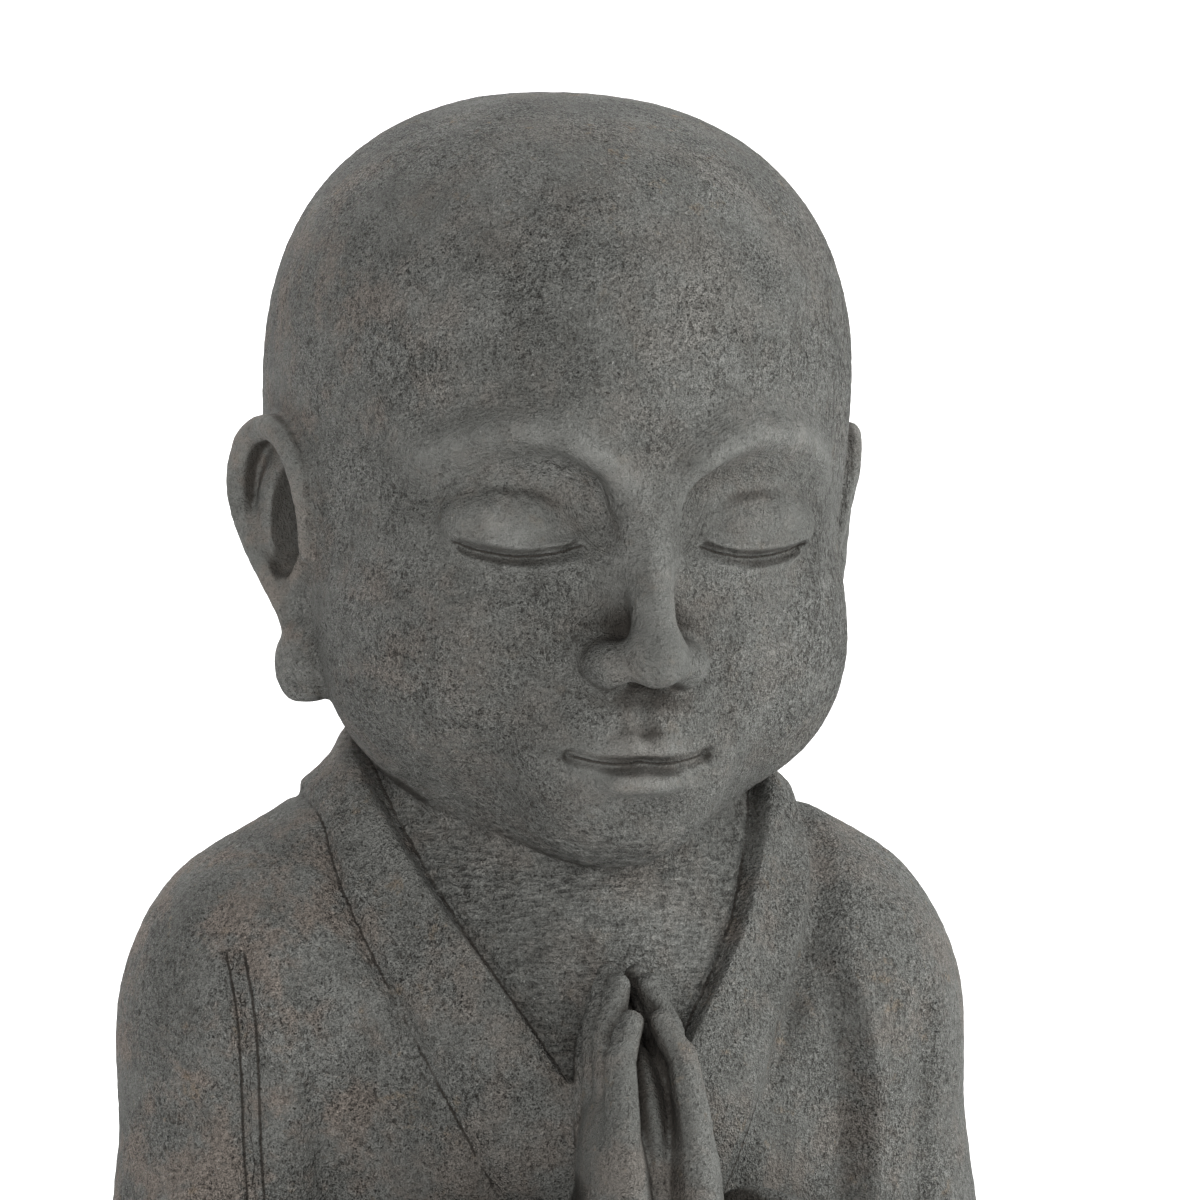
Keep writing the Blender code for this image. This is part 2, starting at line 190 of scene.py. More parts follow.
def worked(form, q, centre, radius, change):
    """A form changed only within a radius of one place, with the change fading out towards it."""
    away = length(q - centre)
    near = away < radius
    if near.any():
        before = form[near]
        share = step(0.92 * radius - away[near], 0.16 * radius)
        form[near] = before + share * (change(before.copy(), q[near]) - before)
    return form


def mirrored(p):
    """The figure's two sides laid on its left one."""
    q = p.copy()
    q[:, 0] = np.abs(q[:, 0])
    return q


# The head, in heads from its own middle, level and facing -Y.

SLIT = smooth_line(((0.074, -0.057), (0.106, -0.067), (0.152, -0.073), (0.200, -0.067),
                    (0.230, -0.057)))
BROW = smooth_line(((0.030, -0.374, 0.004), (0.062, -0.386, 0.050), (0.120, -0.377, 0.082),
                    (0.195, -0.341, 0.080), (0.262, -0.272, 0.044)))
MOUTH_LINE = smooth_line(((0.0, -0.319), (0.022, -0.323), (0.050, -0.321), (0.072, -0.317),
                          (0.088, -0.313)))


def skull(q):
    form = dome(q, (0, 0.022, 0.110), (0.3815, 0.408, 0.376), 2.3)
    form = joined(form, ellipsoid(q, (0, -0.050, -0.175), (0.315, 0.305, 0.300)), 0.13)
    form = joined(form, ellipsoid(q, (0.165, -0.170, -0.215), (0.165, 0.165, 0.165)), 0.10)
    form = joined(form, ellipsoid(q, (0, -0.284, -0.396), (0.105, 0.082, 0.074)), 0.11)
    return joined(form, ellipsoid(q, (0, -0.090, -0.385), (0.20, 0.19, 0.095)), 0.06)


def eyes(form, q):
    form = hollowed(form, ellipsoid(q, (0.150, -0.394, -0.002), (0.116, 0.062, 0.064)), 0.032)
    form = hollowed(form, ellipsoid(q, (0.068, -0.394, -0.014), (0.034, 0.050, 0.050)), 0.028)
    form = joined(form, tube(q, BROW, (0.002, 0.010, 0.012, 0.008, 0.000)), 0.050)
    return joined(form, ellipsoid(q, (0.153, -0.298, -0.035), (0.093, 0.058, 0.058)), 0.008)


def nose(form, q):
    form = joined(form, limb(q, (0, -0.352, 0.045), (0, -0.420, -0.165), 0.024, 0.030), 0.038)
    form = joined(form, ellipsoid(q, (0, -0.430, -0.186), (0.041, 0.040, 0.037)), 0.022)
    form = joined(form, ellipsoid(q, (0.048, -0.388, -0.198), (0.034, 0.046, 0.032)), 0.018)
    return hollowed(form, ellipsoid(q, (0.026, -0.412, -0.234), (0.016, 0.024, 0.013)), 0.008)


def mouth(form, q):
    form = joined(form, ellipsoid(q, (0, -0.338, -0.310), (0.120, 0.052, 0.090)), 0.08)
    upper_lip = limb(q, (0.018, -0.393, -0.297), (0.080, -0.366, -0.308), 0.0205, 0.0090)
    form = joined(form, upper_lip, 0.010)
    form = joined(form, ellipsoid(q, (0, -0.390, -0.304), (0.020, 0.022, 0.016)), 0.010)
    form = joined(form, ellipsoid(q, (0, -0.384, -0.344), (0.062, 0.036, 0.025)), 0.008)
    return hollowed(form, ellipsoid(q, (0, -0.402, -0.388), (0.060, 0.030, 0.018)), 0.030)


def face_marks(q):
    """How far the fine cuts and ridges of the face stand proud, in heads."""
    flat = q[:, [0, 2]]
    raised = -0.0100 * mark(flat, SLIT, 0.0070, 0.12)
    raised += 0.0046 * mark(flat, SLIT + (0.0, 0.0125), 0.0066, 0.15)
    raised -= 0.0024 * mark(flat, SLIT + (0.0, 0.0270), 0.0070, 0.3)
    raised += 0.0042 * mark(flat, SLIT - (0.0, 0.0130), 0.0070, 0.15)
    raised -= 0.0016 * mark(flat, SLIT - (0.0, 0.0330), 0.0110, 0.3)
    raised += 0.0022 * mark(flat, SLIT - (0.0, 0.0560), 0.0150, 0.3)
    raised -= 0.0110 * mark(flat, MOUTH_LINE, 0.0072)
    raised -= 0.005 * mark(flat, ((0.091, -0.312), (0.095, -0.310)), 0.013)
    raised -= 0.006 * mark(flat, ((0.0, -0.246), (0.0, -0.274)), 0.012)
    raised += 0.0022 * mark(flat, ((0.015, -0.244), (0.020, -0.278)), 0.006, 0.3)
    cheek_line = smooth_line(((0.088, -0.200), (0.110, -0.235), (0.126, -0.280)))
    raised -= 0.005 * mark(flat, cheek_line, 0.022, 0.3)
    return raised * step(-0.18 - q[:, 1], 0.08)


EAR_ROOT = np.array((0.346, -0.083, -0.084))
EAR_FLARE = math.radians(25)
RIM_RADII = (0.012, 0.017, 0.019, 0.019, 0.017, 0.014)
HELIX = smooth_line(((0.000, -0.020, 0.008), (-0.004, 0.040, 0.018), (0.014, 0.102, 0.024),
                     (0.064, 0.134, 0.018), (0.122, 0.118, 0.008), (0.147, 0.068, 0.004),
                     (0.134, 0.018, 0.005), (0.096, -0.034, 0.006), (0.054, -0.084, 0.004),
                     (0.032, -0.122, 0.000)))


def in_ear(q):
    """Points in an ear's own frame, which runs back, up and out from its root at the cheek."""
    back = np.array((math.sin(EAR_FLARE), math.cos(EAR_FLARE), 0))
    out = np.array((math.cos(EAR_FLARE), -math.sin(EAR_FLARE), 0))
    return (q - EAR_ROOT) @ np.array((back, (0, 0, 1), out)).T


def ear(form, q):
    e = in_ear(q)
    shell = ellipsoid(e, (0.056, 0.034, -0.030), (0.084, 0.108, 0.036))
    shell = joined(shell, ellipsoid(e, (0.014, -0.160, -0.010), (0.047, 0.058, 0.042)), 0.024)
    shell = hollowed(shell, ellipsoid(e, (0.057, 0.036, 0.016), (0.052, 0.078, 0.034)), 0.008)
    shell = joined(shell, ellipsoid(e, (0.070, 0.032, -0.030), (0.082, 0.116, 0.026)), 0.010)
    shell = joined(shell, ellipsoid(e, (0.034, -0.066, -0.016), (0.040, 0.070, 0.024)), 0.014)
    shell = joined(shell, ellipsoid(e, (0.090, 0.016, -0.010), (0.032, 0.074, 0.020)), 0.006)
    shell = joined(shell, tube(e, HELIX, RIM_RADII), 0.007)
    shell = joined(shell, tube(e + (0, 0, 0.022), HELIX, RIM_RADII), 0.010)
    form = joined(form, shell, 0.010)
    return hollowed(form, ellipsoid(e, (0.050, 0.024, 0.000), (0.026, 0.076, 0.030)), 0.008)


def in_head(p):
    """Points in the bowed head's own frame, with its two sides laid on its left one."""
    bow = math.radians(HEAD_BOW)
    forward = (0, math.cos(bow), math.sin(bow))
    upward = (0, -math.sin(bow), math.cos(bow))
    return mirrored((p - HEAD_CENTRE) @ np.array(((1, 0, 0), forward, upward)).T)


def head(p):
    q = in_head(p)
    form = skull(q)
    form = worked(form, q, (0.150, -0.36, 0.0), 0.20, eyes)
    form = worked(form, q, (0, -0.38, -0.31), 0.20, mouth)
    form = worked(form, q, (0, -0.40, -0.10), 0.22, nose)
    form = worked(form, q, (0.08, -0.38, -0.18), 0.30, lambda f, s: f - face_marks(s))
    return worked(form, q, EAR_ROOT + (0.05, 0.04, -0.01), 0.24, ear)


# The robed body, in heads from the middle of the underside.

ELBOW = np.array((0.455, -0.040, 0.120))
CUFF = np.array((0.150, -0.345, 0.262))
WRIST = np.array((0.046, -0.400, 0.268))
FINGERTIP = np.array((0.019, -0.284, 0.622))
FOREARM = np.array((0.150, -0.330, 0.225))
# Each finger's place across the hand, and where its tip and its root lie along it.
FINGERS = ((-0.062, 0.935, 0.46), (-0.021, 1.000, 0.47), (0.021, 0.945, 0.46), (0.061, 0.800, 0.43))
THUMB = ((0.0, -0.050, 0.060), (-0.010, -0.115, 0.130), (-0.024, -0.125, 0.215))
NECK_AXIS_Y = 0.048


def flesh(q):
    form = ellipsoid(q, (0, 0.048, 0.353), (0.390, 0.295, 0.560))
    form = joined(form, ellipsoid(q, (0, 0.130, 0.385), (0.430, 0.240, 0.480)), 0.10)
    form = joined(form, limb(q, (0.110, 0.062, 0.803), (0.357, 0.055, 0.623), 0.140, 0.149), 0.05)
    form = joined(form, ellipsoid(q, (0.356, 0.050, 0.541), (0.192, 0.212, 0.222)), 0.05)
    form = joined(form, limb(q, (0.375, 0.038, 0.530), (0.428, 0.010, 0.0), 0.165, 0.175), 0.05)
    form = joined(form, ellipsoid(q, (0, -0.110, 0.0), (0.330, 0.240, 0.260)), 0.08)
    return joined(form, limb(q, (0, 0.060, 1.000), (0, 0.030, 0.700), 0.205, 0.225), 0.09)


COLLAR_ANGLES = np.radians((0, 20, 42, 57, 75, 90, 130, 180))
COLLAR_INNER = (0.070, 0.250, 0.400, 0.500, 0.600, 0.660, 0.700, 0.705)
COLLAR_OUTER = (-0.280, -0.030, 0.180, 0.320, 0.490, 0.520, 0.505, 0.500)
EDGE_ANGLES = np.linspace(0, math.pi, 181)


def softened(heights, reach=9):
    """A collar edge's height at every degree round the neck, with its corners rounded."""
    line = np.interp(EDGE_ANGLES, COLLAR_ANGLES, heights)
    window = np.hanning(2 * reach + 3)[1:-1]
    ends = np.concatenate((2 * line[0] - line[reach:0:-1], line, line[-2 : -reach - 2 : -1]))
    return np.convolve(ends, window / window.sum(), "valid")


def edge_distance(q, line):
    """How far outside a collar edge the points are, across the cloth, in heads.

    The height runs down the neck and on outwards over the shoulder, like a cone's.
    """
    radius = np.hypot(q[:, 0], NECK_AXIS_Y - q[:, 1])
    angle = np.arctan2(q[:, 0], NECK_AXIS_Y - q[:, 1])
    slope = np.interp(angle, EDGE_ANGLES, np.gradient(line, EDGE_ANGLES)) / np.maximum(radius, 0.1)
    return (np.interp(angle, EDGE_ANGLES, line) - q[:, 2] + radius) / np.sqrt(2 + slope**2)


INNER_EDGE = softened(COLLAR_INNER)
OUTER_EDGE = softened(COLLAR_OUTER)
SEAM_PLACE = 0.010


def cloth(q):
    """Robe and collar band laid over the flesh, in heads, with a shirt's edge showing inside."""
    inside = edge_distance(q, INNER_EDGE)
    outside = edge_distance(q, OUTER_EDGE)
    layer = ROBE_THICKNESS * step(inside, 0.012)
    layer += COLLAR_THICKNESS * (step(inside, 0.014) - step(outside, 0.024))
    layer += 0.005 * np.exp(-(((inside - 0.022) / 0.020) ** 2))
    return layer + 0.0045 * np.exp(-(((inside + 0.019) / 0.0070) ** 2))


def seam(q):
    """How far outside the collar band's outer seam the points are, in heads."""
    return edge_distance(mirrored(q), OUTER_EDGE) - SEAM_PLACE


def seam_hollow(q):
    """The band's outer seam: a cut on the figure's right, a soft hollow on its left."""
    away = seam(q)
    left = step(q[:, 0], 0.10)
    cut = 0.0045 * np.exp(-((away / 0.0085) ** 2))
    hollow = 0.0125 * np.exp(-(((away - 0.012) / 0.016) ** 2))
    return (1 - left) * cut + left * hollow


# Each fold's line over the front or the back, as (x, z), its width, its height or depth, and
# the share of its run over which each end fades.
FRONT_FOLDS = (
    (((-0.456, 0.652), (-0.448, 0.560), (-0.440, 0.420), (-0.430, 0.240)), 0.015, -0.014, 0.07),
    (((-0.456, 0.645), (-0.448, 0.560), (-0.440, 0.420), (-0.430, 0.300)), 0.0062, 0.008, 0.07),
    (((-0.392, 0.640), (-0.370, 0.540), (-0.352, 0.400), (-0.340, 0.260)), 0.022, -0.012, 0.20),
    (((0.305, 0.640), (0.330, 0.540), (0.345, 0.400), (0.335, 0.260)), 0.020, -0.013, 0.25),
    (((0.335, 0.625), (0.372, 0.520), (0.385, 0.400), (0.380, 0.260)), 0.016, 0.007, 0.25),
    (((0.455, 0.600), (0.452, 0.420), (0.440, 0.240)), 0.017, -0.012, 0.20),
    (((-0.245, 0.480), (-0.235, 0.380), (-0.225, 0.300)), 0.026, -0.010, 0.25),
    (((0.235, 0.500), (0.230, 0.400), (0.220, 0.300)), 0.026, -0.010, 0.25),
)
BACK_FOLDS = (
    (((-0.200, 0.620), (-0.230, 0.420), (-0.240, 0.120)), 0.034, -0.014, 0.25),
    (((0.190, 0.600), (0.225, 0.400), (0.230, 0.100)), 0.034, -0.014, 0.25),
    (((-0.030, 0.520), (-0.020, 0.350), (-0.035, 0.080)), 0.045, -0.008, 0.25),
)


def drawn(q, lines):
    flat = q[:, [0, 2]]
    return sum(depth * mark(flat, smooth_line(line), width, fade) for line, width, depth, fade in lines)


def folds(q):
    """Furrows and ridges of the robe, which stop at the collar band."""
    front = drawn(q, FRONT_FOLDS) * step(-0.02 - q[:, 1], 0.10)
    back = drawn(q, BACK_FOLDS) * step(q[:, 1] - 0.10, 0.12)
    return (front + back) * step(edge_distance(mirrored(q), OUTER_EDGE) - 0.015, 0.03)


def sleeve(form, q):
    """The wide sleeve: round over the forearm, then hanging straight down from it."""
    plan = (CUFF - ELBOW)[:2]
    along = np.clip((q[:, :2] - ELBOW[:2]) @ plan / (plan @ plan), 0, 1)
    away = length(q[:, :2] - ELBOW[:2] - along[:, None] * plan)
    top = ELBOW[2] + (CUFF[2] - ELBOW[2]) * along
    over = q[:, 2] - top
    radius = 0.125 - 0.025 * along + 0.008 * np.sin(along * 17) * step(-over - 0.04, 0.10)
    hanging = np.sqrt(away**2 + np.maximum(over, 0) ** 2) - radius
    forward = (CUFF - ELBOW) / np.linalg.norm(CUFF - ELBOW)
    mouth_plane = (q - CUFF) @ np.array((forward[0], forward[1], 0)) / np.linalg.norm(forward[:2])
    hanging += 0.0045 * np.exp(-(((mouth_plane + 0.022) / 0.006) ** 2))
    hanging = -joined(-hanging, -(mouth_plane - 0.02), 0.02)
    form = joined(form, hanging, 0.03)
    return hollowed(form, limb(q, CUFF + forward * 0.06, CUFF - forward * 0.02, 0.072, 0.060), 0.012)


def hand(q):
    """One of the two hands laid palm to palm, with the little finger in front."""
    axis = FINGERTIP - WRIST
    reach = np.linalg.norm(axis)
    axis = axis / reach
    across = np.array((0.0, -axis[2], axis[1]))
    local = (q - WRIST) @ np.array(((1, 0, 0), across, axis)).T
    form = ellipsoid(local, (0.000, 0.0, 0.27 * reach), (0.042, 0.086, 0.34 * reach))
    between = ellipsoid(local, (-WRIST[0], 0.0, 0.42 * reach), (0.032, 0.056, 0.36 * reach))
    form = joined(form, between, 0.004)
    form = joined(form, limb(q, WRIST + axis * 0.08 * reach, FOREARM, 0.050, 0.056), 0.04)
    tip_x = FINGERTIP[0] - WRIST[0]
    raised = np.zeros(len(q))
    for offset, share, base_share in FINGERS:
        base = (0.0, offset, base_share * reach)
        knuckle = (-0.006, offset * 0.97, (0.35 * base_share + 0.65 * share) * reach)
        tip = (tip_x, offset * 0.88, share * reach)
        form = joined(form, limb(local, base, knuckle, 0.0245, 0.0215), 0.006)
        form = joined(form, limb(local, knuckle, tip, 0.0215, 0.0180), 0.004)
        raised += finger_marks(local, knuckle, tip)
    form -= raised * step(local[:, 0] - tip_x, 0.012)
    thumb = tube(local, THUMB, (0.036, 0.030, 0.023))
    return joined(form, thumb, 0.012)


def finger_marks(local, knuckle, tip):
    """A nail and two knuckle creases on the back of a finger, in heads."""
    flat = local[:, 1:]
    nail = np.array(tip[1:]) + (0.0, -0.012)
    raised = -0.0035 * ring(flat, nail, (0.0110, 0.0170), 0.0028)
    for rise in (-0.004, 0.006):
        crease = (knuckle[1] - 0.014, knuckle[2] + rise), (knuckle[1] + 0.014, knuckle[2] + rise)
        raised -= 0.0022 * mark(flat, crease, 0.0030)
    return raised


def figure(q):
    """Distance to the whole carved surface, in heads, less than 0 inside."""
    side = mirrored(q)
    form = flesh(side)
    form -= cloth(side)
    form -= folds(q) - seam_hollow(q)
    form = worked(form, side, (0.30, -0.20, 0.12), 0.50, sleeve)
    form = worked(form, side, (0.02, -0.33, 0.42), 0.32, lambda f, s: joined(f, hand(s), 0.008))
    return worked(form, q, HEAD_CENTRE, 0.68, lambda f, s: joined(f, head(s), 0.012))


# Carving the block into a mesh.


def measured(points, measure=figure):
    """A measure of many points, in batches shared by the threads."""
    batches = np.array_split(points, max(1, len(points) // BATCH))
    with ThreadPoolExecutor(THREADS) as pool:
        return np.concatenate(list(pool.map(measure, batches)))


def carved_block(grain):
    """The distance at every point of a grid over the block, close only near the surface."""
    cells = np.ceil((BLOCK_HIGH - BLOCK_LOW) / (grain * COARSE)).astype(int)
    axes = [low + grain * COARSE * np.arange(n + 1) for low, n in zip(BLOCK_LOW, cells)]
    nodes = np.stack(np.meshgrid(*axes, indexing="ij"), -1)
    rough = measured(nodes.reshape(-1, 3)).reshape(cells + 1)
    corners = [rough[i : cells[0] + i, j : cells[1] + j, k : cells[2] + k]
               for i in (0, 1) for j in (0, 1) for k in (0, 1)]
    nearest = np.min(np.abs(corners), axis=0)
    block = corners[0]
    for axis in range(3):
        block = np.repeat(block, COARSE, axis=axis)
    block = np.ascontiguousarray(block)
    inner = np.stack(np.meshgrid(*[np.arange(COARSE)] * 3, indexing="ij"), -1).reshape(-1, 3)
    near = np.argwhere(nearest < SURFACE_REACH * grain * COARSE)
    fine = (near[:, None, :] * COARSE + inner).reshape(-1, 3)
    block[tuple(fine.T)] = measured(BLOCK_LOW + grain * fine)
    return block


def carved_bust(grain):
    """The surface of the carved block as an object, in metres."""
    grid = openvdb.FloatGrid(1.0)
    grid.copyFromArray(carved_block(grain).astype(np.float32))
    points, quads = grid.convertToQuads()
    mesh = bpy.data.meshes.new("stone_bust")
    mesh.from_pydata((BLOCK_LOW + grain * points) * HEAD_HEIGHT, [], quads)
    mesh.update()
    bust = bpy.data.objects.new("stone_bust", mesh)
    bpy.context.scene.collection.objects.link(bust)
    return bust


# Node trees, for the stone's surface and for its material.


class Wire:
    """A socket of a node tree. Sums of wires and numbers add their own Math nodes."""

    def __init__(self, bench, socket):
        self.bench = bench
        self.socket = socket

    def math(self, operation, *values):
        return self.bench.node("ShaderNodeMath", {"operation": operation}, dict(enumerate(values)))

    def __add__(self, other):
        return self.math("ADD", self, other)

    def __radd__(self, other):
        return self.math("ADD", other, self)

    def __sub__(self, other):
        return self.math("SUBTRACT", self, other)

    def __rsub__(self, other):
        return self.math("SUBTRACT", other, self)

    def __mul__(self, other):
        return self.math("MULTIPLY", self, other)

    def __rmul__(self, other):
        return self.math("MULTIPLY", other, self)

    def absolute(self):
        return self.math("ABSOLUTE", self)

    def above(self, limit):
        """1 where the value is above the limit, and 0 elsewhere."""
        return self.math("GREATER_THAN", self, limit)

    def below(self, limit):
        """1 where the value is below the limit, and 0 elsewhere."""
        return self.math("LESS_THAN", self, limit)

    def at_least(self, other):
        return self.math("MAXIMUM", self, other)

    def at_most(self, other):
        return self.math("MINIMUM", self, other)


class Bench:
    """A node tree being wired up."""

    def __init__(self, tree):
        self.tree = tree

    def node(self, kind, settings=None, sockets=None, give=0):
        """Adds a node with its settings and its sockets' values or wires, and gives an output."""
        node = self.tree.nodes.new(kind)
        for name, value in (settings or {}).items():
            setattr(node, name, value)
        for name, value in (sockets or {}).items():
            if isinstance(value, Wire):
                self.tree.links.new(value.socket, node.inputs[name])
            else:
                node.inputs[name].default_value = value
        return Wire(self, node.outputs[give]) if node.outputs else node

    def stretched(self, place, scale):
        """A place with its axes multiplied, as a vector."""
        return self.node("ShaderNodeVectorMath", {"operation": "MULTIPLY"}, {0: place, 1: scale})

    def noise(self, place, scale, detail, roughness=0.5):
        """Noise from 0 to 1, mostly near 0.5, with scale features to the metre."""
        sockets = {"Vector": place, "Scale": scale, "Detail": detail, "Roughness": roughness}
        return self.node("ShaderNodeTexNoise", None, sockets)

    def cells(self, place, scale):
        """Distance to the nearest cell's middle, and that cell's own random colour."""
        sockets = {"Vector": place, "Scale": scale}
        away = self.node("ShaderNodeTexVoronoi", None, sockets, "Distance")
        return away, Wire(self, away.socket.node.outputs["Color"])

    def ramp(self, value, low, high, out_low=0.0, out_high=1.0):
        """A value's span from low to high turned softly into another span, and held there."""
        return self.node("ShaderNodeMapRange", {"interpolation_type": "SMOOTHSTEP"},
                         {"Value": value, "From Min": low, "From Max": high,
                          "To Min": out_low, "To Max": out_high})

    def blend(self, share, below, above, kind="MIX"):
        """Two colours mixed by a share."""
        settings = {"data_type": "RGBA", "blend_type": kind}
        return self.node("ShaderNodeMix", settings, {0: share, 6: below, 7: above}, give=2)

    def vector(self, x, y, z):
        return self.node("ShaderNodeCombineXYZ", None, {0: x, 1: y, 2: z})

    def part_of(self, vector, axis):
        return self.node("ShaderNodeSeparateXYZ", None, {0: vector}, give=axis)

    def attribute(self, name):
        return self.node("ShaderNodeAttribute", {"attribute_name": name}, None, give="Fac")


# The casting's surface: waves and ripples left by the mould's filling, and dents of trapped air.

SURFACE_SIZES = {
    "Wave Height": 0.00035,
    "Waves per Metre": 45.0,
    "Ripple Height": 0.00038,
    "Ripples per Metre": 190.0,
    "Dent Depth": 0.0007,
    "Dents per Metre": 120.0,
    "Dent Share": 0.10,
}


def casting_surface(stone):
    """A Geometry Nodes tree that presses the casting's unevenness into a mesh."""
    tree = bpy.data.node_groups.new("casting_surface", "GeometryNodeTree")
    tree.interface.new_socket("Geometry", in_out="INPUT", socket_type="NodeSocketGeometry")
    for name in SURFACE_SIZES:
        tree.interface.new_socket(name, in_out="INPUT", socket_type="NodeSocketFloat")
    tree.interface.new_socket("Geometry", in_out="OUTPUT", socket_type="NodeSocketGeometry")
    bench = Bench(tree)
    given = tree.nodes.new("NodeGroupInput")
    size = {name: Wire(bench, given.outputs[name]) for name in SURFACE_SIZES}
    place = bench.node("GeometryNodeInputPosition")
    normal = bench.node("GeometryNodeInputNormal")
    waves = bench.noise(place, size["Waves per Metre"], 2.0) - 0.5
    ripples = bench.noise(place, size["Ripples per Metre"], 1.0) - 0.5
    away, pick = bench.cells(place, size["Dents per Metre"])
    chosen = bench.part_of(pick, 0).below(size["Dent Share"])
    dents = bench.ramp(away, 0.10, 0.26, 1.0, 0.0) * chosen
    rise = (waves * 2 - 1) * size["Wave Height"] + (ripples * 2 - 1) * size["Ripple Height"]
    rise = rise - dents * size["Dent Depth"]
    offset = bench.node("ShaderNodeVectorMath", {"operation": "SCALE"}, {0: normal, "Scale": rise})
    sockets = {"Geometry": Wire(bench, given.outputs["Geometry"]), "Offset": offset}
    moved = bench.node("GeometryNodeSetPosition", None, sockets)
    real = bench.node("GeometryNodeRealizeInstances", None, {"Geometry": moved})
    painted = bench.node("GeometryNodeSetMaterial", None, {"Geometry": real, "Material": stone})
    end = tree.nodes.new("NodeGroupOutput")
    tree.links.new(painted.socket, end.inputs["Geometry"])
    return tree


def weathered(bust, stone):
    """The bust with the casting's surface pressed in, thinned to its share of triangles."""
    surface = bust.modifiers.new("casting surface", "NODES")
    surface.node_group = casting_surface(stone)
    for item in surface.node_group.interface.items_tree:
        if item.in_out == "INPUT" and item.name in SURFACE_SIZES:
            surface[item.identifier] = SURFACE_SIZES[item.name]
    thinner = bust.modifiers.new("thinner", "DECIMATE")
    thinner.ratio = TRIANGLES / (2 * len(bust.data.polygons))
    graph = bpy.context.evaluated_depsgraph_get()
    mesh = bpy.data.meshes.new_from_object(bust.evaluated_get(graph))
    bust.modifiers.clear()
    bust.data = mesh


def sliced_flat(bust):
    """Cuts the underside off flat at z = 0 and closes it with one face."""
    shape = bmesh.new()
    shape.from_mesh(bust.data)
    everything = shape.verts[:] + shape.edges[:] + shape.faces[:]
    cut = bmesh.ops.bisect_plane(shape, geom=everything, dist=1e-6, plane_co=(0, 0, 0),
                                 plane_no=(0, 0, 1), clear_inner=True)
    rim = [e for e in cut["geom_cut"] if isinstance(e, bmesh.types.BMEdge)]
    bmesh.ops.contextual_create(shape, geom=rim)
    bmesh.ops.triangulate(shape, faces=shape.faces[:])
    shape.to_mesh(bust.data)
    shape.free()


# What the material needs to know of each place, kept on the mesh's points.

# How far off open space is looked for, in heads, for fine creases, hollows and sheltered places,
# and how far into the stone an edge is looked for.
CREASE_REACH = 0.014
HOLLOW_REACH = 0.055
SHELTER_REACH = 0.150
EDGE_REACH = 0.020
# Length of a brow, in metres, for the strokes along it.
BROW_LENGTH = 0.11
# Half the space between the sleeve's two creases, and how high above the underside they end,
# in heads.
CREASE_HALF_GAP = 0.010
CREASE_FOOT = 0.27
# Height under which a cut belongs to the sleeve and not to the face, in heads.
SLEEVE_TOP = 0.72


def open_ground_lost(points, normals, reach):
    """0 on open ground, 1 deep in a crease, for creases of about one reach, in heads."""
    open_share = measured(points + normals * reach) / reach
    return np.clip(1 - open_share, 0, 1)


def brow_place(p):
    """Distance from the brow's line, and the place along it, in metres."""
    away, share = along_line(in_head(p), BROW)
    return np.stack((away * HEAD_HEIGHT, share * BROW_LENGTH), 1)


def cut_place(p):
    """Distance to one side of the nearest fine cut, and distance inside its ends, in metres.

    The cuts are the slits of the eyes and mouth, and two creases down the right sleeve.
    """
    q = in_head(p)
    over_eye = q[:, 2] - np.interp(q[:, 0], *SLIT.T)
    over_mouth = q[:, 2] - np.interp(q[:, 0], *MOUTH_LINE.T)
    at_eye = np.abs(over_eye) < np.abs(over_mouth)
    beside = np.where(at_eye, over_eye, over_mouth)
    within_eye = np.minimum(q[:, 0] - SLIT[0, 0], SLIT[-1, 0] - q[:, 0]) + 0.006
    within = np.where(at_eye, within_eye, MOUTH_LINE[-1, 0] + 0.004 - q[:, 0])
    within[q[:, 1] > -0.20] = -0.1
    low = p[:, 2] < SLEEVE_TOP
    line = np.asarray(FRONT_FOLDS[0][0])
    off = p[:, 0] - np.interp(-p[:, 2], -line[:, 1], line[:, 0])
    off -= np.where(off < 0, -CREASE_HALF_GAP, CREASE_HALF_GAP)
    beside[low] = off[low]
    between_ends = np.minimum(line[0, 1] - p[low, 2], p[low, 2] - CREASE_FOOT)
    within[low] = np.where(p[low, 1] < 0.0, between_ends, -0.1)
    return np.stack((beside, within), 1) * HEAD_HEIGHT


def edge_place(p):
    """Distances outside the collar band's outer and inner edges, in metres."""
    inner = edge_distance(mirrored(p), INNER_EDGE)
    return np.stack((seam(p), inner + 0.005), 1) * HEAD_HEIGHT


def dressed(p):
    """1 where the surface is the dress or skin of the trunk, 0 on head, hands and sleeves."""
    side = mirrored(p)
    away = flesh(side) - cloth(side) - folds(p) + seam_hollow(p)
    return 1 - step(np.abs(away) - 0.008, 0.006)


def tooled(p):
    """1 where the maker smoothed the form: brows, lids, nose, lips, ears and hands."""
    q = in_head(p)
    nearness = [
        0.9 * np.exp(-((along_line(q, BROW)[0] / 0.045) ** 2)),
        np.exp(-(length((q - (0.152, -0.350, -0.030)) / (0.115, 0.10, 0.062)) ** 4)),
        np.exp(-(length((q - (0, -0.430, -0.130)) / (0.080, 0.09, 0.150)) ** 4)),
        np.exp(-(length((q - (0, -0.400, -0.320)) / (0.110, 0.08, 0.050)) ** 4)),
        np.exp(-(length((q - EAR_ROOT - (0.07, 0.05, 0.0)) / (0.080, 0.13, 0.23)) ** 6)),
        0.8 * np.exp(-(length((mirrored(p) - (0.03, -0.36, 0.43)) / (0.085, 0.11, 0.24)) ** 6)),
    ]
    return np.max(nearness, axis=0)


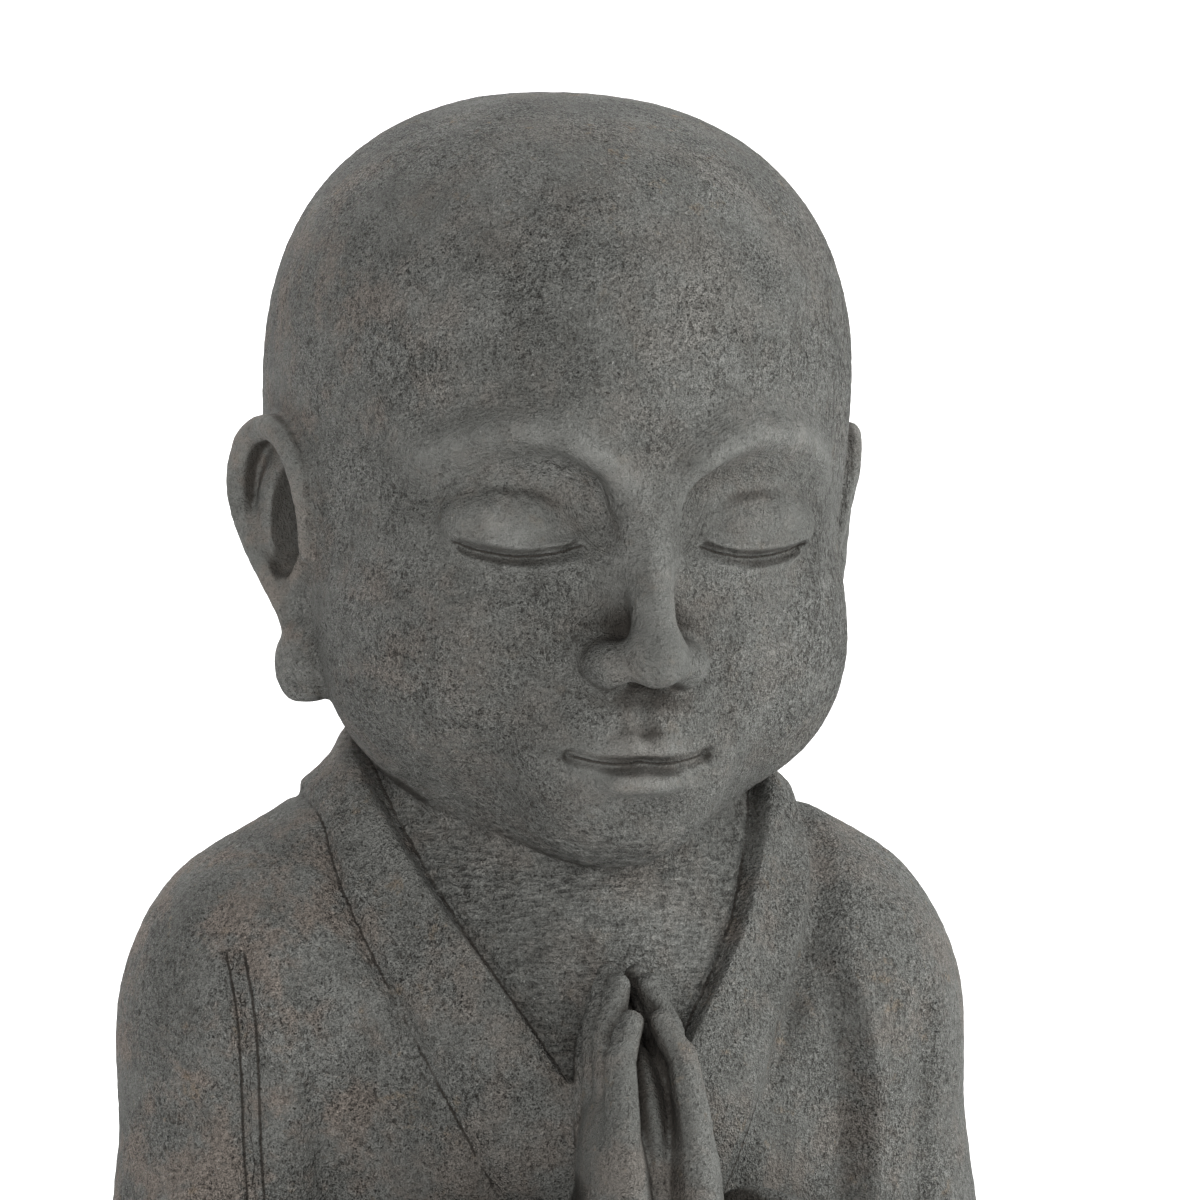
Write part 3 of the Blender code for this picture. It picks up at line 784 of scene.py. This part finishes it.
def robed(p):
    """1 on the robe, 0 on the head, neck and chest."""
    robe = step(edge_distance(mirrored(p), INNER_EDGE) + 0.004, 0.010)
    clear_of_head = step(length((p - HEAD_CENTRE) / (0.46, 0.52, 0.50)) - 1.0, 0.05)
    below = step(0.80 - p[:, 2], 0.02)
    return robe * np.maximum(clear_of_head, below)


def noted(bust):
    """Writes the places' own values onto the mesh as attributes."""
    mesh = bust.data
    count = len(mesh.vertices)
    points = np.empty(count * 3, np.float32)
    normals = np.empty(count * 3, np.float32)
    mesh.vertices.foreach_get("co", points)
    mesh.vertex_normals.foreach_get("vector", normals)
    points = points.reshape(-1, 3).astype(float) / HEAD_HEIGHT
    normals = normals.reshape(-1, 3).astype(float)
    brows = measured(points, brow_place)
    cuts = measured(points, cut_place)
    edges = measured(points, edge_place)
    values = {
        "crease": open_ground_lost(points, normals, CREASE_REACH),
        "hollow": open_ground_lost(points, normals, HOLLOW_REACH),
        "shelter": open_ground_lost(points, normals, SHELTER_REACH),
        "edge": np.clip(1 + measured(points - normals * EDGE_REACH) / EDGE_REACH, 0, 1),
        "tooled": measured(points, tooled),
        "robe": measured(points, robed),
        "dressed": measured(points, dressed),
        "brow_across": brows[:, 0],
        "brow_along": brows[:, 1],
        "cut_beside": cuts[:, 0],
        "cut_within": cuts[:, 1],
        "band_outer": edges[:, 0],
        "band_inner": edges[:, 1],
    }
    for name, value in values.items():
        attribute = mesh.attributes.new(name, "FLOAT", "POINT")
        attribute.data.foreach_set("value", value.astype(np.float32))


# The stone.

GREY = (0.112, 0.113, 0.105, 1.0)
PALE = (0.158, 0.159, 0.149, 1.0)
DARK = (0.070, 0.070, 0.064, 1.0)
TAUPE = (0.172, 0.146, 0.126, 1.0)
OCHRE = (0.180, 0.134, 0.088, 1.0)
# Near-black colour of painted shade, laid into creases, hollows, pits, crinkles and cuts.
PAINTED_SHADE_COLOUR = (0.026, 0.022, 0.018, 1.0)
GRIT = (0.340, 0.340, 0.320, 1.0)

# Features of the stone to the metre.
SHADES_PER_METRE = 16.0
STAINS_PER_METRE = 30.0
PATCHES_PER_METRE = 38.0
RUST_PER_METRE = 85.0
CLOUDS_PER_METRE = 90.0
WIDE_FOLDS_PER_METRE = 150.0
CRUST_PER_METRE = 230.0
LUMPS_PER_METRE = 260.0
FINE_FOLDS_PER_METRE = 330.0
PITS_PER_METRE = 520.0
SAND_PER_METRE = 700.0
COMMAS_PER_METRE = 760.0
SPECKS_PER_METRE = 900.0
DUST_PER_METRE = 1700.0
# Brush strokes to the metre across their own way, and along it.
STROKES_ACROSS = 1000.0
THROAT_STROKES_ACROSS = 700.0
BROW_STROKES_ACROSS = 1300.0
STROKES_ALONG = 150.0

# Relief, in metres, of a full step in each of the stone's layers.
LUMP_HEIGHT = 0.0042
SAND_HEIGHT = 0.0026
DUST_HEIGHT = 0.0008
CRUST_HEIGHT = 0.0056
GRIT_HEIGHT = 0.0002
STROKE_HEIGHT = 0.0006
CRINKLE_DEPTH = 0.0006
HOLE_DEPTH = 0.0011
CUT_DEPTH = 0.0005

# How much the stone glints, where a smooth plastic has 0.5.
STONE_SPECULAR = 0.25


def cast_stone():
    """Grey cast stone: sandy grain, pin-holes, brush strokes, brown stain, and painted shade in the
    creases, hollows, pits and cuts.
    """
    material = bpy.data.materials.new("cast_stone")
    material.use_nodes = True
    bench = Bench(material.node_tree)
    shader = material.node_tree.nodes["Principled BSDF"]
    place = bench.node("ShaderNodeTexCoord", None, None, give="Object")
    crease = bench.attribute("crease")
    hollow = bench.attribute("hollow")
    shelter = bench.attribute("shelter")
    edge = bench.attribute("edge")
    smooth = bench.attribute("tooled")
    robe = bench.attribute("robe")
    dress = bench.attribute("dressed")
    rough = 1 - smooth * 0.62
    left_side = bench.ramp(bench.part_of(place, 0), 0.03, 0.11)
    right_side = bench.ramp(bench.part_of(place, 0), -0.05, -0.13)

    # Grain: lumps, sand and dust, gathered in rougher and smoother patches.
    patches = bench.noise(place, PATCHES_PER_METRE, 2.0, 0.6)
    sandy = bench.ramp(patches, 0.36, 0.60, 0.55, 1.0) * rough
    lumps = bench.noise(place, LUMPS_PER_METRE, 2.0, 0.75) - 0.5
    sand = bench.noise(place, SAND_PER_METRE, 1.0, 0.8) - 0.5
    dust = bench.noise(place, DUST_PER_METRE, 0.0) - 0.5

    # Crinkles: fine curling creases of the cement's skin.
    wide_fold = bench.noise(place, WIDE_FOLDS_PER_METRE, 2.0, 0.6) - 0.5
    wide_crinkle = bench.ramp(wide_fold.absolute(), 0.0, 0.030, 1.0, 0.0)
    fine_fold = bench.noise(place, FINE_FOLDS_PER_METRE, 1.0, 0.6) - 0.5
    fine_crinkle = bench.ramp(fine_fold.absolute(), 0.0, 0.050, 1.0, 0.0)
    creased = bench.ramp(patches, 0.42, 0.60)
    broken_up = bench.ramp(lumps + sand * 0.5, -0.04, 0.10)
    crinkles = (wide_crinkle * creased).at_least(fine_crinkle * (1 - creased * 0.6))
    crinkles = crinkles * broken_up * rough

    # Pits, pin-holes and pale grit, and pits drawn down into commas on the head's left side.
    pit_noise = bench.noise(bench.stretched(place, (1.0, 1.0, 0.7)), PITS_PER_METRE, 1.0, 0.6)
    pits = bench.ramp(pit_noise, 0.40, 0.30) * bench.ramp(patches, 0.30, 0.62, 0.35, 1.0)
    comma_noise = bench.noise(bench.stretched(place, (1.0, 1.0, 0.42)), COMMAS_PER_METRE, 0.0)
    commas = bench.ramp(comma_noise, 0.42, 0.32)
    comma_area = left_side * (1 - robe * 0.6) * (1 - smooth)
    comma_area = comma_area * bench.ramp(patches, 0.20, 0.42, 0.4, 1.0)
    speck = bench.noise(place, SPECKS_PER_METRE, 0.0)
    pin_holes = bench.ramp(speck, 0.26, 0.18)
    grit = bench.ramp(speck, 0.78, 0.84)
    holes = (pin_holes.at_least(pits * 0.7) * rough).at_least(commas * comma_area)

    # Brush strokes: along the brows and lids, down the nose and sides, and across the throat,
    # where they have worn the sand down.
    brow_near = bench.ramp(bench.attribute("brow_across"), 0.034, 0.014) * (1 - robe)
    low = bench.ramp(bench.part_of(place, 2), 0.264, 0.238)
    throat = (shelter + low).at_most(1.0) * (1 - robe) * (1 - smooth)
    throat_way = bench.stretched(place, (STROKES_ALONG, STROKES_ALONG, THROAT_STROKES_ACROSS))
    across_brow = bench.attribute("brow_across") * BROW_STROKES_ACROSS
    along_brow = bench.attribute("brow_along") * STROKES_ALONG
    brow_way = bench.vector(across_brow, along_brow, 0)
    way = bench.stretched(place, (STROKES_ACROSS, STROKES_ACROSS, STROKES_ALONG))
    way = bench.blend(throat.above(0.4), way, throat_way)
    way = bench.blend(brow_near.above(0.2), way, brow_way)
    bristles = bench.noise(way, 1.0, 1.0, 0.6) - 0.5
    strokes = bristles * (0.4 + left_side * 0.5 + brow_near * 0.9 + throat * 2.6)
    sandy = sandy * (1 - throat * 0.40)

    # Crumpled crust on the throat and chest, between the collar bands.
    crust_area = low * (1 - robe) * (1 - smooth)
    crust = bench.noise(bench.stretched(place, (1.0, 1.0, 1.6)), CRUST_PER_METRE, 2.0, 0.75) - 0.5

    # Fine cuts: slits of the eyes and mouth, sleeve creases, and both edges of the collar band, each
    # drawn as a thin dark line of painted shade and pressed into the relief.
    wander = lumps * 0.0020
    beside = bench.attribute("cut_beside") + wander * 0.3
    within = bench.ramp(bench.attribute("cut_within"), -0.0005, 0.0035)
    slit = bench.ramp(beside.absolute(), 0.0008, 0.0002) * within
    beside_slit = bench.ramp(beside.absolute(), 0.0050, 0.0030) * within
    broken = bench.ramp(patches, 0.36, 0.50)
    outer = bench.attribute("band_outer") + wander
    outer_cut = bench.ramp(outer.absolute(), 0.0008, 0.0002) * broken
    outer_cut = outer_cut * (1 - left_side * 0.7)
    inner = bench.attribute("band_inner") + wander
    inner_cut = bench.ramp(inner.absolute(), 0.0009, 0.0003) * (0.4 + broken * 0.6)
    cuts = slit.at_least(outer_cut.at_least(inner_cut) * dress)

    # Colour.
    shade = bench.noise(place, SHADES_PER_METRE, 2.0, 0.6)
    colour = bench.blend(bench.ramp(shade, 0.30, 0.70), GREY, PALE)
    clouds = bench.ramp(bench.noise(place, CLOUDS_PER_METRE, 3.0, 0.7), 0.40, 0.70)
    colour = bench.blend(clouds * 0.50, colour, DARK)
    # The robe paler on the figure's left side, the side the side lamp lights: painted light.
    colour = bench.blend(robe * left_side * 0.50, colour, PALE)
    stain = bench.ramp(bench.noise(place, STAINS_PER_METRE, 4.0, 0.72), 0.46, 0.64)
    stain_share = stain * (0.20 + right_side * 0.60 + robe * 0.24 + hollow * 0.25)
    colour = bench.blend(stain_share.at_most(0.85), colour, TAUPE)
    rust = bench.ramp(bench.noise(place, RUST_PER_METRE, 3.0, 0.75), 0.60, 0.72)
    high = bench.ramp(bench.part_of(place, 2), 0.44, 0.53)
    colour = bench.blend(rust * (0.14 + high * 0.45 + robe * 0.30), colour, OCHRE)
    # Grain tone that follows the relief, lighter on its rises and darker in its low spots: partly the
    # stone's own speckle, partly painted shade of the relief.
    grain = 1 + sand * 1.8 * sandy + dust * 2.0 * sandy + lumps * 0.9 * sandy
    grain = grain + strokes * 0.5 + crust * crust_area * 1.1
    colour = bench.blend(1.0, colour, bench.vector(grain, grain, grain), "MULTIPLY")
    colour = bench.blend((edge * 0.35).at_most(0.35), colour, PALE)
    colour = bench.blend(grit * rough * 0.6, colour, GRIT)
    # Painted shade inside the pits, pin-holes and crinkles, which are also pressed into the relief.
    colour = bench.blend((holes * 0.80).at_least(crinkles * 0.40), colour, PAINTED_SHADE_COLOUR)
    # Painted shade: darker in fine creases, hollows, sheltered places and deep pockets, where less
    # light reaches, and along the dark lines of the cuts.
    deep = bench.ramp(hollow, 0.35, 0.80) * (1 - dress)
    painted_crease_shade = crease * (0.36 - dress * 0.14) * (1 - beside_slit * 0.85)
    painted_shade = painted_crease_shade + hollow * 0.12 + shelter * 0.10 + deep * 0.50
    colour = bench.blend(painted_shade.at_least(cuts * 0.9).at_most(0.92), colour, PAINTED_SHADE_COLOUR)
    material.node_tree.links.new(colour.socket, shader.inputs["Base Color"])
    dull = 0.93 - smooth * 0.10 + sand * 0.10
    material.node_tree.links.new(dull.at_most(1.0).socket, shader.inputs["Roughness"])
    shader.inputs["Specular IOR Level"].default_value = STONE_SPECULAR

    # Relief, in metres.
    relief = lumps * LUMP_HEIGHT * sandy + sand * SAND_HEIGHT * sandy + dust * DUST_HEIGHT * rough
    relief = relief - crinkles * CRINKLE_DEPTH - holes * HOLE_DEPTH - cuts * CUT_DEPTH
    relief = relief + strokes * STROKE_HEIGHT + crust * crust_area * CRUST_HEIGHT + grit * GRIT_HEIGHT
    sockets = {"Strength": 1.0, "Distance": 1.0, "Height": relief}
    bump = bench.node("ShaderNodeBump", None, sockets, "Normal")
    material.node_tree.links.new(bump.socket, shader.inputs["Normal"])
    return material


# The studio.


def plain(name, colour, roughness):
    material = bpy.data.materials.new(name)
    material.use_nodes = True
    shader = material.node_tree.nodes["Principled BSDF"]
    shader.inputs["Base Color"].default_value = colour
    shader.inputs["Roughness"].default_value = roughness
    shader.inputs["Specular IOR Level"].default_value = 0.0
    return material


SWEEP_HALF_WIDTH = 4.0
SWEEP_FRONT = -4.0
SWEEP_BACK = 2.2
SWEEP_RADIUS = 1.2
SWEEP_TOP = 4.0
SWEEP_STEPS = 12
SWEEP_WHITE = (0.93, 0.93, 0.93, 1.0)


def sweep():
    """A white floor that curves up into a back wall."""
    profile = [(SWEEP_FRONT, 0.0)]
    for i in range(SWEEP_STEPS + 1):
        turn = math.radians(90 * i / SWEEP_STEPS)
        profile.append((SWEEP_BACK - SWEEP_RADIUS + SWEEP_RADIUS * math.sin(turn),
                        SWEEP_RADIUS - SWEEP_RADIUS * math.cos(turn)))
    profile.append((SWEEP_BACK, SWEEP_TOP))
    shape = bmesh.new()
    sides = (-SWEEP_HALF_WIDTH, SWEEP_HALF_WIDTH)
    rows = [[shape.verts.new((x, y, z)) for y, z in profile] for x in sides]
    for a, b, c, d in zip(rows[0][:-1], rows[1][:-1], rows[1][1:], rows[0][1:]):
        shape.faces.new((a, b, c, d)).smooth = True
    mesh = bpy.data.meshes.new("white_sweep")
    shape.to_mesh(mesh)
    shape.free()
    mesh.materials.append(plain("white_paper", SWEEP_WHITE, 1.0))
    floor = bpy.data.objects.new("white_sweep", mesh)
    bpy.context.scene.collection.objects.link(floor)


WHITE = (1.0, 1.0, 1.0)
HEAD_PLACE = (0, 0, 0.36)
# Each light's place, what it faces, its width and height in metres, its watts and its colour.
LIGHTS = {
    "right_box": ((1.75, -0.75, 0.80), HEAD_PLACE, (0.7, 1.2), 44.0, (0.98, 1.0, 1.0)),
    "front_box": ((-0.75, -2.0, 0.85), HEAD_PLACE, (0.9, 0.9), 34.0, WHITE),
    "paper_light": ((0, 0.75, 2.6), (0, 2.2, 0.5), (2.6, 0.5), 118.0, WHITE),
}
AIR_STRENGTH = 0.06


def softbox(name, place, aim, size, watts, colour):
    lamp = bpy.data.lights.new(name, "AREA")
    lamp.shape = "RECTANGLE"
    lamp.size, lamp.size_y = size
    lamp.energy = watts
    lamp.color = colour
    box = bpy.data.objects.new(name, lamp)
    box.location = place
    box.rotation_euler = (Vector(aim) - Vector(place)).to_track_quat("-Z", "Y").to_euler()
    bpy.context.scene.collection.objects.link(box)


def studio():
    for name, light in LIGHTS.items():
        softbox(name, *light)
    world = bpy.data.worlds.new("studio_air")
    bpy.context.scene.world = world
    world.use_nodes = True
    air = world.node_tree.nodes["Background"]
    air.inputs["Color"].default_value = (*WHITE, 1.0)
    air.inputs["Strength"].default_value = AIR_STRENGTH


def camera():
    lens = bpy.data.cameras.new("camera")
    lens.sensor_width = SENSOR_MM
    lens.lens = SENSOR_MM * CAMERA_DISTANCE / CAMERA_SPAN
    view = bpy.data.objects.new("camera", lens)
    back = Vector((math.sin(CAMERA_AZIMUTH), -math.cos(CAMERA_AZIMUTH), 0))
    view.location = CAMERA_TARGET + CAMERA_DISTANCE * back
    view.rotation_euler = (math.pi / 2, 0, CAMERA_AZIMUTH)
    bpy.context.scene.collection.objects.link(view)
    bpy.context.scene.camera = view
    bpy.context.scene.view_settings.view_transform = "Standard"


def main():
    stone = cast_stone()
    bust = carved_bust(GRAIN)
    weathered(bust, stone)
    sliced_flat(bust)
    noted(bust)
    bust.data.shade_smooth()
    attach(bust, "root")
    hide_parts("monk_bust")
    sweep()
    studio()
    camera()


main()
